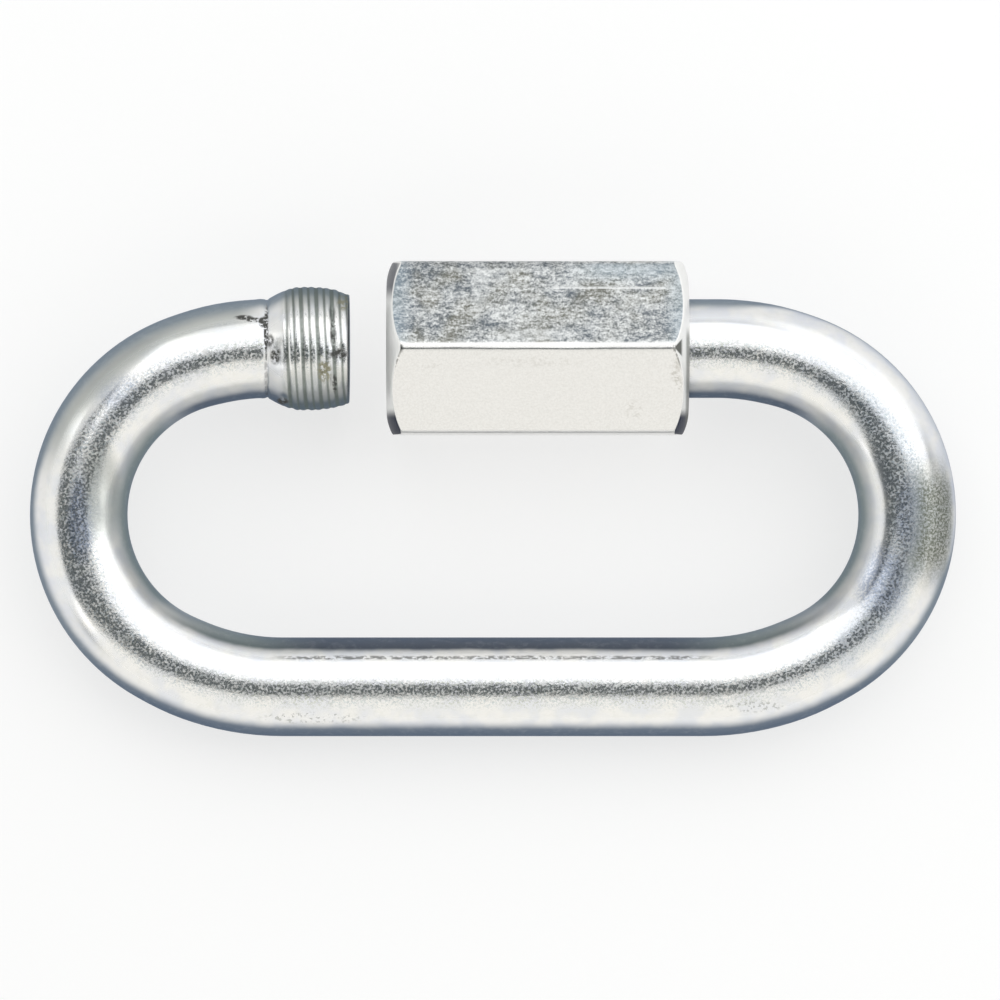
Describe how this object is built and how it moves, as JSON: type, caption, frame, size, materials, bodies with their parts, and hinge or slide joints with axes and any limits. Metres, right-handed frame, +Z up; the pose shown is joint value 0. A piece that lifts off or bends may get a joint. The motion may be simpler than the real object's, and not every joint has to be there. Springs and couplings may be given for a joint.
{
  "type": "quick link",
  "caption": "Oval quick link bent from round steel rod, with a hexagonal sleeve nut that screws across the gap between its upset threaded ends.",
  "frame": {"origin": "on the floor below the middle of the part's box, as the link lies at rest", "axes": "+X along the nut and the long way of the loop, +Y across the loop to the nut's side, +Z up"},
  "size_m": [0.075, 0.0386, 0.0158],
  "materials": {
    "zinc_rod": "bright zinc plate, finely mottled",
    "zinc_nut": "bright zinc plate on drawn hexagonal bar"
  },
  "bodies": {
    "link": {"link_rod": "zinc_rod"},
    "nut": {"sleeve_nut": "zinc_nut"}
  },
  "joints": [
    {"name": "nut_travel", "type": "slide", "parent": "link", "child": "nut", "axis": [1, 0, 0], "range_m": [-0.0079, 0.007]}
  ]
}
